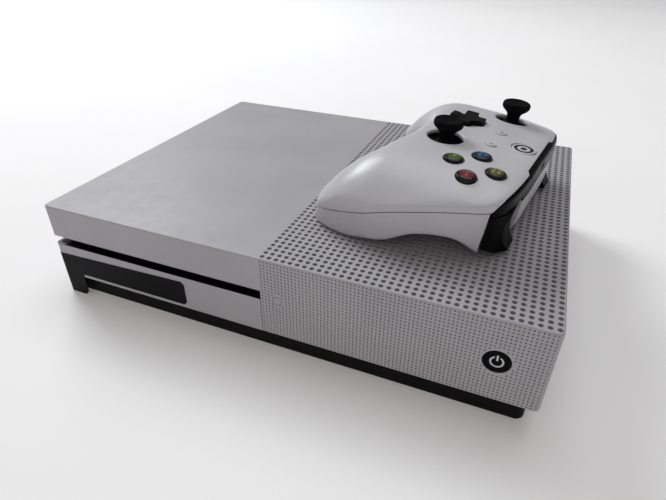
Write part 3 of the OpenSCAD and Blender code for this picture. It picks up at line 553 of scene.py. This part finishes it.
def case_skin():
    """The case and its perforated half in one, open at the groove, the back and below."""
    rings = [case_ring(LOW_ROUND, BASE_H), case_ring(0, BASE_H + LOW_ROUND)]
    for k in range(6):
        a = math.radians(18 * k)
        rings.append(case_ring(TOP_ROUND * (1 - math.cos(a)), CASE_H - TOP_ROUND * (1 - math.sin(a))))
    skin = loft("case_skin", rings)
    inner = loft("tool", [case_ring(WALL, BASE_H - 1), case_ring(WALL, CASE_H - WALL)])
    tools = [
        inner,
        block((-FAR, -FAR, 0), (0, FAR, GROOVE_HIGH)),
        block((-REAR_HALF, HALF_D - REAR_DEPTH, 0), (REAR_HALF, FAR, CASE_H - REAR_LIP)),
        block((GRILLE_X0, -HALF_D + WALL, GRILLE_Z0), (HALF_W - WALL, HALF_D - WALL, CASE_H - 2)),
        front_rod(POWER_X, POWER_Z, POWER_D + 2 * BUTTON_GAP, -HALF_D - 2, -HALF_D + 5),
        front_rod(EJECT_X, POWER_Z, EJECT_D + 2 * BUTTON_GAP, -HALF_D - 2, -HALF_D + 5),
    ]
    carve(skin, tools)
    carve(skin, [lid_holes(), front_pits(), side_holes()])
    return smooth(skin, 30)


def shade_pits(obj):
    """Gives the sloping walls of the front's dimples a darker grey: painted shade in the pits."""
    obj.data.materials.append(dimple_shade)
    for face in obj.data.polygons:
        x, y, z = face.center / MM
        behind_front = 0.01 < y + HALF_D < 0.8
        among_pits = x > 0 and PIT_Z - 0.8 < z < PIT_Z + (PIT_ROWS - 1) * PIT_PITCH + 0.6
        small, sloping = face.area < 0.3 * MM**2, abs(face.normal.y) < 0.999
        if behind_front and among_pits and small and sloping:
            face.material_index = 1


CASE_NODES = ("upper_shell", "top_grille")
shade_pits(place(case_skin(), "case_skin", "console", case_white, CASE_NODES, METRES))


# ---- controller surface ---------------------------------------------------------------------------
# lines are (x, y) on the face, (y, z) in section or (x, z) from the triggers' side, in millimetres
PAD_HALF, WIDEST_Y = 78.5, -56.0
FRONT_EDGE = [(0, 12), (30, 12), (48, 10), (58, 6), (64, 0), (68, -9), (72.5, -22), (76, -36), (78.5, -56)]
PALM_EDGE = [(0, -63), (14, -63.2), (24, -65.6), (33, -71.2), (41, -79.8), (48, -88), (57, -93)]
PALM_EDGE += [(66.2, -91.5), (74.5, -82), (78.5, -56)]
SEAM_LINE = [(-93, -38.7), (-66, -30.1), (-40, -20.3), (-17, -14.3), (4, -11.3), (20, -10)]
UNDER_LINE = [(-93, -48.2), (-80, -46.9), (-62, -45.3), (-45, -40.5), (-30, -31.5), (-15, -29.5)]
UNDER_LINE += [(0, -31.5), (20, -31)]
PAD_WALL, DOOR_WALL = 2.2, 2.0
SEAM_GAP = 0.25  # half the gap between the two shells
KEY_GAP, STICK_LIP, HOME_LIP, KEY_LIP = 0.8, 1.3, 0.25, 0.35  # wider than the button, and rounded so far
DISH_R, DISH_DEPTH = 12.4, 1.9
CROSS_GAP, CROSS_ROOM_W, CROSS_W = 2.0, 8.8, 7.2
DOOR_X, DOOR_Y, DOOR_GAP = 24.0, (-50.0, -12.0), 0.2
COVER_X = 42.0  # where a grip cover begins
ROOM = (-80, 20)  # heights past the whole controller
KEYS_XY, KEY_REACH, KEY_D = (40.5, -15.4), 11.4, 10.4
STICKS = {"left": (-42.2, -18.4), "right": (17.0, -40.4)}
STICK_HOLE_D, STICK_PIVOT_Z = 20.5, -12.1
DPAD_XY, DPAD_SPAN = (-17.2, -39.6), 20.5
HOME_XY, HOME_D = (0.0, -0.5), 13.4
VIEW_XY, MENU_XY, SMALL_D = (-10.4, -16.4), (10.4, -16.4), 5.6
BAY_Y = 2.6  # the bumpers and triggers lie past it
BUMPER_SPLIT = 26.0
BELLY_POWER = 8.0
TOP_SIDE, LOW_SIDE = (7.8, 2.6), (30, 8)  # how square and how blunt the sides are
SHOULDER = [(24, 7), (27.5, 8.7), (54, 8.6), (59.4, 9.4), (62.5, 10.9), (90, 13)]
BUMPER_LOW = [(35.6, -12.6), (36.8, -9.9), (44, -10.8), (53, -13.4), (62, -14.2), (90, -14.2)]
COVER_EDGE = [(2.6, 20), (2.6, -12), (2.2, -23), (1.6, -33), (1.2, -40), (1.2, -80)]


def curve(line, x):
    """Smooth curve through the points of line."""
    p = np.array(line, float)
    x = np.asarray(x, float)
    i = np.clip(np.searchsorted(p[:, 0], x, side="left") - 1, 0, len(p) - 2)
    before, after = np.maximum(i - 1, 0), np.minimum(i + 2, len(p) - 1)
    h = p[i + 1, 0] - p[i, 0]
    m0 = (p[i + 1, 1] - p[before, 1]) / (p[i + 1, 0] - p[before, 0])
    m1 = (p[after, 1] - p[i, 1]) / (p[after, 0] - p[i, 0])
    t = (x - p[i, 0]) / h
    return (
        (2 * t**3 - 3 * t**2 + 1) * p[i, 1]
        + (t**3 - 2 * t**2 + t) * h * m0
        + (3 * t**2 - 2 * t**3) * p[i + 1, 1]
        + (t**3 - t**2) * h * m1
    )


def bell(x, middle, width):
    """1 at the middle, fading to 0 on both sides."""
    return np.exp(-(((x - middle) / width) ** 2))


def step_up(x, middle, width):
    """0 well below the middle and 1 well above it."""
    return 1 / (1 + np.exp((middle - x) / width))


def side_share(k, shape):
    """Share of the full height at a share k of the half width."""
    square, blunt = shape
    return max(0, 1 - k**square) ** (1 / blunt)


def rounding(v, power):
    """Height of a rounded section with a half width and height of 1."""
    return np.maximum(0, 1 - np.abs(v) ** power) ** (1 / power)


def crown(u, y):
    """Height of the face's ridge at a distance u from the middle."""
    return 1.2 * step_up(-y, 10, 3) - 9 * (u / 70) ** 4.5 - 0.0038 * np.maximum(-50 - y, 0) ** 2.3


def belly(u, y):
    """Depth of the underside: flat in the middle, with the grips and trigger housings below it."""
    k = step_up(u, 34, 4)
    return k * curve(UNDER_LINE, y) - (1 - k) * 36 - 9.2 * bell(u, 55, 12) * bell(y, 3.5, 8.5)


def crown_power(u, front):
    """How square the face's section is: rounder over the grips, except at the front."""
    return np.where(front, 6.0, 6.5 - 3.7 * step_up(u, 33, 4))


def face_z(x, y):
    """Height of the controller's face."""
    u = abs(x)
    low, high = curve(PALM_EDGE, u), curve(FRONT_EDGE, u)
    v = (2 * y - high - low) / (high - low)
    s = curve(SEAM_LINE, y)
    side = side_share(u / PAD_HALF, TOP_SIDE)
    return float(s + (crown(u, y) - s) * rounding(v, crown_power(u, v > 0)) * side)


def pad_body(inset=0.0, sections=110, ring=136):
    """The controller's whole outside, or the same shape inset millimetres further in."""
    reach = PAD_HALF - inset
    angle = 2 * np.pi * (np.arange(ring) + 0.5) / ring
    cos, sin = np.cos(angle), np.sin(angle)
    up = sin >= 0
    rings = []
    for i in range(1, sections):
        x = -reach * math.cos(math.pi * i / sections)
        u = min(abs(x) * PAD_HALF / reach, PAD_HALF)
        low, high = curve(PALM_EDGE, u) + inset, curve(FRONT_EDGE, u) - inset
        power = np.where(up, crown_power(u, cos > 0), BELLY_POWER)
        v = np.sign(cos) * np.abs(cos) ** (2 / power)
        w = rounding(v, power)
        y = (low + high) / 2 + (high - low) / 2 * v
        s = curve(SEAM_LINE, y)
        top = s + (crown(u, y) - inset - s) * w * side_share(u / PAD_HALF, TOP_SIDE)
        bottom = s + (belly(u, y) + inset - s) * w * side_share(u / PAD_HALF, LOW_SIDE)
        rings.append([(x, a, b) for a, b in zip(y, np.where(up, top, bottom))])
    tip = float(curve(SEAM_LINE, WIDEST_Y))
    return loft("pad_body", rings, (-reach, WIDEST_Y, tip), (reach, WIDEST_Y, tip))


outer_body = pad_body()
inner_body, door_body = pad_body(PAD_WALL, 60, 72), pad_body(DOOR_WALL, 60, 72)


def copy_of(obj):
    made = obj.copy()
    made.data = obj.data.copy()
    scene.collection.objects.link(made)
    return made


def past_seam(lift, above):
    """Everything above or below the seam between the shells, moved up by lift."""
    ys = np.arange(-100, 33, 2.0)
    edge = [(float(y), float(curve(SEAM_LINE, min(max(y, -93), 20))) + lift) for y in ys]
    far = 60 if above else -80
    return prism_x(edge + [(32.0, far), (-100.0, far)], -100, 100)


def face_hole(xy, d, rim, bottom=-12.0, n=64):
    """Opening through the face with a rounded lip that follows the surface."""
    cx, cy = xy
    steps = []
    for k in range(6):
        t = math.radians(18 * k)
        steps.append((d / 2 + rim * (1 - math.cos(t)), -rim * (1 - math.sin(t))))
    steps += [(d / 2 + rim + 0.3, 0.35), (d / 2 + rim + 1.0, 3.0)]
    rings = [[(cx + a, cy + b, bottom) for a, b in circle(d / 2, n)]]
    rings += [[(cx + a, cy + b, face_z(cx + a, cy + b) + lift) for a, b in circle(r, n)] for r, lift in steps]
    return loft("tool", rings)


def dish_tool(xy, r, depth):
    """Shallow round hollow that follows the surface."""
    cx, cy = xy
    rings = []
    for k in range(1, 11):
        t = k / 10
        lift = -depth * (1 - t**2)
        rings.append([(cx + a, cy + b, face_z(cx + a, cy + b) + lift) for a, b in circle(r * t, 72)])
    rings.append([(cx + a, cy + b, face_z(cx + a, cy + b) + 4) for a, b in circle(r + 1.2, 72)])
    return loft("tool", rings, (cx, cy, face_z(cx, cy) - depth), None)


def cross_outline(span, width):
    """Plus sign with arms of the given width."""
    a, b = span / 2, width / 2
    quarter = [(a, -b), (a, b), (b, b)]
    turned = [(-y, x) for x, y in quarter]
    return quarter + turned + [(-x, -y) for x, y in quarter + turned]


def cross_prism(xy, span, width, z0, z1):
    outline = [(xy[0] + x, xy[1] + y) for x, y in cross_outline(span, width)]
    return loft("tool", [[(x, y, z) for x, y in outline] for z in (z0, z1)])


def both_ways(line):
    """A line over the right half, mirrored to the left and joined."""
    return [(-x, v) for x, v in reversed(line)] + line


def past_shoulder(clear, spread=0.0):
    """Everything beyond the border of the white face, which slopes forward and up from it."""
    line = [(x, v + clear + spread * max(0.0, abs(x) - 27.5)) for x, v in both_ways(SHOULDER)]
    outline = line + [(90.0, 70.0), (-90.0, 70.0)]
    slope = math.sqrt(0.5)
    rings = [[(x, slope * (v + t), slope * (t - v)) for x, v in outline] for t in (-60.0, 60.0)]
    return loft("tool", rings)


def over_bumper_edge(clear):
    """Everything above the lower edge of the bumpers, and clear millimetres more."""
    line = [(x, z - clear) for x, z in both_ways(BUMPER_LOW)]
    return prism_y(line + [(90.0, 30.0), (-90.0, 30.0)], BAY_Y, 60.0)


def past_cover():
    """Everything on the triggers' side of a grip cover's edge."""
    return prism_x(COVER_EDGE + [(60.0, -80.0), (60.0, 20.0)], -100, 100)


def trigger_room(side):
    """The pocket that a trigger swings in."""
    outline = [(36.3, -12.4), (61.7, -12.4), (61.7, -27), (60.6, -31.6), (58.4, -35.2), (55, -37.6)]
    outline += [(51, -38.8), (51, -60), (36.3, -60)]
    return prism_y([(side * x, z) for x, z in outline], -9, 30)


def key_place(degrees):
    """Middle of the face button in that direction."""
    a = math.radians(degrees)
    return (KEYS_XY[0] + KEY_REACH * math.cos(a), KEYS_XY[1] + KEY_REACH * math.sin(a))


def front_half():
    """Upper shell with its openings for the sticks, buttons and cross."""
    openings = [face_hole(xy, STICK_HOLE_D, STICK_LIP) for xy in STICKS.values()]
    openings.append(face_hole(HOME_XY, HOME_D + KEY_GAP, HOME_LIP))
    openings += [face_hole(xy, SMALL_D + KEY_GAP, HOME_LIP, n=40) for xy in (VIEW_XY, MENU_XY)]
    openings.append(dish_tool(DPAD_XY, DISH_R, DISH_DEPTH))
    openings.append(cross_prism(DPAD_XY, DPAD_SPAN + CROSS_GAP, CROSS_ROOM_W, -12, 8))
    openings += [face_hole(key_place(a), KEY_D + KEY_GAP, KEY_LIP) for a in (0, 90, 180, 270)]
    beyond = carve(past_shoulder(-0.1), [side_block(-90, 90, BAY_Y, 40, -40, 20)], "INTERSECT")
    return carve(copy_of(outer_body), [copy_of(inner_body), past_seam(SEAM_GAP, False), beyond] + openings)


def back_half():
    """Lower shell between the two grip covers, open for the triggers and the battery door."""
    tools = [copy_of(inner_body), past_seam(-SEAM_GAP, True)]
    for x, y in ((COVER_X - 0.2, -100), (35.8, BAY_Y)):
        tools += [side_block(s * x, s * 90, y, 40, *ROOM) for s in (-1, 1)]
    tools += [trigger_room(s) for s in (-1, 1)]
    low, high = DOOR_Y
    reach = DOOR_X + DOOR_GAP
    doorway = side_block(-reach, reach, low - DOOR_GAP, high + DOOR_GAP, -80, -28)
    return carve(copy_of(outer_body), tools + [over_bumper_edge(0.5), doorway])


def grip_cover(side):
    """Cover round the underside of one grip."""
    inward = side_block(side * (COVER_X + 0.2), -side * 90, -100, 40, *ROOM)
    tools = [copy_of(inner_body), past_seam(-SEAM_GAP, True), inward, past_cover(), trigger_room(side)]
    return carve(copy_of(outer_body), tools)


def battery_lid():
    lid = carve(copy_of(outer_body), [side_block(-DOOR_X, DOOR_X, *DOOR_Y, -80, -28.2)], "INTERSECT")
    return carve(lid, [door_body])


place(smooth(front_half()), "pad_front", "controller", pad_white, ("front_shell",))
place(smooth(back_half()), "pad_back", "controller", pad_white, ("back_shell",))
for side, word in ((-1, "left"), (1, "right")):
    node = "grip_" + word
    place(smooth(grip_cover(side)), "pad_" + node, "controller", pad_white, (node,))
place(smooth(battery_lid()), "pad_door", "battery_door", pad_white, ("battery_door",))


# ---- bumpers and triggers -------------------------------------------------------------------------
def bumper(x0, x1):
    """Part of the black band between two planes."""
    room = [past_shoulder(0.25, 0.0125), over_bumper_edge(0), side_block(x0, x1, BAY_Y + 1, 40, -40, 20)]
    band = carve(copy_of(outer_body), room, "INTERSECT")
    return carve(band, [copy_of(inner_body)])


bridge = carve(bumper(0.4 - BUMPER_SPLIT, BUMPER_SPLIT - 0.4), [side_block(-4, 4, 0, 40, -8, -5.2)])
place(smooth(bridge), "pad_bridge", "controller", gloss_black, ("bumper_bridge",))
for node, x0, x1 in (("bumper_left", -90, -BUMPER_SPLIT), ("bumper_right", BUMPER_SPLIT, 90)):
    place(smooth(bumper(x0, x1)), "pad_" + node, node, gloss_black, (node,))


def smooth_chain(points, steps=6):
    """Catmull-Rom curve through an open chain of points."""
    p = np.array(points, float)
    ends = [2 * p[0] - p[1], *p, 2 * p[-1] - p[-2]]
    out = []
    for a, b, c, d in zip(ends, ends[1:], ends[2:], ends[3:]):
        for k in range(steps):
            t = k / steps
            bend, twist = 2 * a - 5 * b + 4 * c - d, 3 * b - a - 3 * c + d
            out.append(0.5 * (2 * b + (c - a) * t + bend * t**2 + twist * t**3))
    return [tuple(map(float, q)) for q in out] + [tuple(map(float, p[-1]))]


TRIGGER_FRONT = [(10.4, -10), (10.9, -13.4), (9.9, -19), (9.6, -25), (10.6, -30), (12.8, -33.6), (13.9, -34.8)]
TRIGGER_LOW = [(13.4, -35.8), (10.6, -36.8), (8, -37.3), (1.8, -37.5)]
TRIGGER_BACK = [(2.1, -33), (2.7, -23), (3.05, -12), (3.05, -10)]
TRIGGER_TOP = [(38.6, -10.8), (44, -11.4), (53, -14), (60.9, -14.8)]
TRIGGER_SIDE = [(61, -15.2), (61, -21), (61, -27), (59.9, -31.2), (57.8, -34.4), (54.6, -36.5), (50, -37.5)]
TRIGGER_PLAN = [(61, 2.9), (58.4, 5.8), (54, 8.4), (51, 10.4), (49.6, 12.6), (48.8, 15), (48.4, 18.5)]


def trigger(side):
    """Trigger of one side: what its outlines seen from the side, from the front and from above share."""
    profile = smooth_chain(TRIGGER_FRONT) + TRIGGER_LOW + TRIGGER_BACK
    outline = TRIGGER_TOP + smooth_chain(TRIGGER_SIDE) + [(38.6, -37.5), (37.4, -36), (37.4, -24)]
    plan = [(30.0, -5.0), (61.0, -5.0)] + smooth_chain(TRIGGER_PLAN) + [(30.0, 18.5)]
    plan = [(side * x, y) for x, y in (plan if side > 0 else plan[::-1])]
    body = prism_x(profile, 30 if side > 0 else -70, 70 if side > 0 else -30)
    tools = [prism_y([(side * x, z) for x, z in outline], -10, 30)]
    tools.append(loft("tool", [[(x, y, z) for x, y in plan] for z in (-50, 0)]))
    carve(body, tools, "INTERSECT")
    return smooth(soften(body, 0.7), 50)


for side, word in ((-1, "left"), (1, "right")):
    node = "trigger_" + word
    place(trigger(side), "pad_" + node, node, trigger_black, (node,))


# ---- controller keys ------------------------------------------------------------------------------
def lathe(name, profile, n=72):
    """Turned solid; profile runs from the axis at the bottom, round the outside, to the axis at the top."""
    rings = [[(x, y, z) for x, y in circle(r, n)] for r, z in profile if r > 0]
    return loft(name, rings, (0, 0, profile[0][1]), (0, 0, profile[-1][1]))


def face_key():
    """Face button with a rounded edge and a domed top."""
    r, proud, dome, edge, foot = KEY_D / 2, 1.7, 13.0, 0.45, 0.1
    profile = [(0, -5), (r, -5), (r, foot)]
    edge_z = proud - dome + math.sqrt(dome**2 - (r - edge) ** 2)
    for k in range(1, 6):
        t = math.radians(15 * k)
        profile.append((r - edge * (1 - math.cos(t)), foot + (edge_z - foot) * math.sin(t)))
    for k in range(1, 14):
        q = (r - edge) * (1 - k / 14)
        profile.append((q, proud - dome + math.sqrt(dome**2 - q**2)))
    profile.append((0, proud))
    return smooth(lathe("face_key", profile), 60, False)


for word, a, material, slot in (
    ("down", 270, key_green, "key_green"),
    ("right", 0, key_red, "key_red"),
    ("left", 180, key_blue, "key_blue"),
    ("up", 90, key_yellow, "key_yellow"),
):
    node = "button_" + word
    x, y = key_place(a)
    place_local(face_key(), "key_" + word, node, material, (node,), (x, y, face_z(x, y)))


def flat_key(d, proud):
    """Flat button with a rounded edge."""
    r, edge = d / 2, 0.35
    profile = [(0, -4), (r, -4), (r, proud - edge)]
    for k in range(1, 6):
        t = math.radians(18 * k)
        profile.append((r - edge * (1 - math.cos(t)), proud - edge + edge * math.sin(t)))
    profile += [(q * r, proud) for q in (0.8, 0.6, 0.4, 0.2)] + [(0, proud)]
    return smooth(lathe("flat_key", profile), 60, False)


for node, xy, d, proud, material in (
    ("home_button", HOME_XY, HOME_D, 0.0, home_white),
    ("view_button", VIEW_XY, SMALL_D, 0.5, view_white),
    ("menu_button", MENU_XY, SMALL_D, 0.5, menu_white),
):
    spot = (*xy, face_z(*xy))
    place_local(flat_key(d, proud), "key_" + node[:4], node, material, (node,), spot)


def dpad():
    """Cross with a hollow top, cut by a large ball."""
    cross = cross_prism((0, 0), DPAD_SPAN, CROSS_W, -5.4, 3.4)
    r, middle = 21.6, 23.6
    ball = [(0, middle - r)]
    for k in range(1, 48):
        a = math.pi * k / 48
        ball.append((r * math.sin(a), middle - r * math.cos(a)))
    carve(cross, [lathe("tool", ball + [(0, middle + r)], 96)])
    return smooth(soften(cross, 0.55), 50)


place_local(dpad(), "key_cross", "dpad_cross", cross_black, ("dpad_cross",), (*DPAD_XY, 0))


# radius and height over the stick's pivot
STICK_WAIST = [(4.5, 11.0), (4.05, 12), (3.95, 13.6), (4.4, 15.8), (6.1, 17.6), (7.45, 18.8), (8.2, 19.9)]
STICK_RIM = [(8.3, 20.3), (8.3, 20.8), (8.3, 21.3), (8.26, 21.8), (8.1, 22.3), (7.7, 22.7), (7.2, 22.92)]
STICK_BOWL = [(6.6, 23.03), (6.2, 22.95), (5.8, 22.76), (5.4, 22.54), (4.5, 22.35), (3.4, 22.2)]
STICK_BOWL += [(2.2, 22.08), (1.1, 22.02)]


def dome_arc(r, start, stop, step):
    """Arc round the stick's pivot, by its angles from upright."""
    arc = [math.radians(a) for a in range(start, stop, step)]
    return [(r * math.sin(a), r * math.cos(a)) for a in arc]


def stick_cap():
    """Cap with a hollow top, a ridged rim, a waist and the dome that closes the opening."""
    waist = smooth_chain(STICK_WAIST, 4)
    profile = dome_arc(10.4, 6, 47, 4) + dome_arc(11.6, 46, 23, -3) + waist + STICK_RIM + STICK_BOWL
    n, ridges, side_cut, top_cut = 324, 54, 0.14, 0.08
    rings = []
    for r, z in profile:
        cut = side_cut if r > 7.65 and z > 20.0 else 0.0
        top = top_cut if 6.1 < r <= 7.8 and z > 22.6 else 0.0
        ring = []
        for j in range(n):
            t = 2 * math.pi * j / n
            wave = 0.5 - 0.5 * math.cos(ridges * t)
            ring.append(((r - cut * wave) * math.cos(t), (r - cut * wave) * math.sin(t), z - top * wave))
        rings.append(ring)
    return smooth(loft("stick_cap", rings, (0, 0, 10.4), (0, 0, 22.0)), 60, False)


for word, xy in STICKS.items():
    node = f"stick_{word}_cap"
    spot = (*xy, STICK_PIVOT_Z)
    place_local(stick_cap(), "pad_" + node, node, rubber_black, (node,), spot)

for spare in (outer_body, inner_body):
    bpy.data.objects.remove(spare)


# ---- finish of the CAD nodes that show ------------------------------------------------------------
FINISH = {
    case_white: ["eject_button"],
    panel_white: ["lower_panel"],
    groove_black: ["slot_bezel"],
    base_black: ["base_cover", "rear_panel", "power_inlet"],
    foot_rubber: ["rubber_feet"],
    film_black: ["corner_label"],
    gloss_black: ["power_button"],
    light_mark: ["power_light"],
    steel_sheet: [
        "hdmi_ports", "usb_ports", "ethernet_port", "chassis_plate", "optical_drive", "lead_screw",
        "case_screws", "hard_drive", "stick_left_yoke", "stick_left_shaft", "stick_right_yoke",
        "stick_right_shaft",
    ],
    board_green: ["mainboard", "pad_board"],
    heat_metal: ["heatsink"],
    inner_black: [
        "fan_housing", "fan_rotor", "power_supply", "disc_hub", "laser_sled", "feed_roller",
        "dpad_rocker", "stick_left_base", "stick_right_base",
    ],
    cell_wrap: ["batteries"],
    motor_steel: ["rumble_motors", "rumble_weight_left", "rumble_weight_right"],
}
for material, names in FINISH.items():
    for name in names:
        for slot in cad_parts[name].material_slots:
            slot.material = material


# ---- floor, light and camera ----------------------------------------------------------------------
floor = add_mesh("floor", [(-4, -4, 0), (4, -4, 0), (4, 4, 0), (-4, 4, 0)], [(0, 1, 2, 3)])
ground = Nodes("floor_pale")
clouds = ground.spread(ground.noise(3.0), 0.3, 0.7, 0.0, 1.0)
pale = ground.blend(clouds, srgb(246, 246, 247), srgb(250, 250, 251))
ground.link(pale, ground.shader.inputs["Base Color"])
ground.shader.inputs["Roughness"].default_value = 0.9
ground.shader.inputs["Emission Color"].default_value = (1.0, 0.98, 0.965, 1.0)
ground.shader.inputs["Emission Strength"].default_value = 0.15
floor.data.materials.append(ground.material)


def area_light(name, at, target, size, power, colour):
    data = bpy.data.lights.new(name, "AREA")
    data.shape = "RECTANGLE"
    data.size, data.size_y = size
    data.energy = power
    data.color = colour
    lamp = bpy.data.objects.new(name, data)
    lamp.location = at
    lamp.rotation_mode = "QUATERNION"
    lamp.rotation_quaternion = (Vector(at) - Vector(target)).to_track_quat("Z", "Y")
    scene.collection.objects.link(lamp)


area_light("key_light", (-1.5, 0.95, 1.5), (0.05, 0, 0.05), (1.0, 1.0), 27.0, (0.94, 0.97, 1.0))
area_light("front_light", (-0.2, -1.7, 1.25), (0, 0, 0.05), (1.7, 1.7), 4.0, (1.0, 0.94, 0.9))
area_light("top_light", (0.1, 0.6, 2.1), (0, 0, 0.05), (1.6, 1.6), 13.0, (0.96, 0.98, 1.0))

world = bpy.data.worlds.new("studio")
scene.world = world
world.use_nodes = True
backdrop = world.node_tree.nodes["Background"]
backdrop.inputs["Color"].default_value = (1.0, 0.94, 0.91, 1.0)
backdrop.inputs["Strength"].default_value = 0.19

scene.view_settings.view_transform = "Standard"

# the photograph's camera, found from the console's corners
CAMERA_AT, LENS, SENSOR = (0.1158, -0.298, 0.2085), 27.25, 36.0
YAW, PITCH, ROLL = (math.radians(a) for a in (-22.02, 33.05, 0.59))
ahead = Vector((math.sin(YAW) * math.cos(PITCH), math.cos(YAW) * math.cos(PITCH), -math.sin(PITCH)))
right = Vector((math.cos(YAW), -math.sin(YAW), 0))
up = right.cross(ahead)
tilted_right = math.cos(ROLL) * right + math.sin(ROLL) * up
tilted_up = -math.sin(ROLL) * right + math.cos(ROLL) * up
camera_data = bpy.data.cameras.new("camera")
camera_data.sensor_width = SENSOR
camera_data.lens = LENS
camera_data.clip_start = 0.01
camera = bpy.data.objects.new("camera", camera_data)
turn = Matrix((tilted_right, tilted_up, -ahead)).transposed()
camera.matrix_world = Matrix.Translation(CAMERA_AT) @ turn.to_4x4()
scene.collection.objects.link(camera)
scene.camera = camera
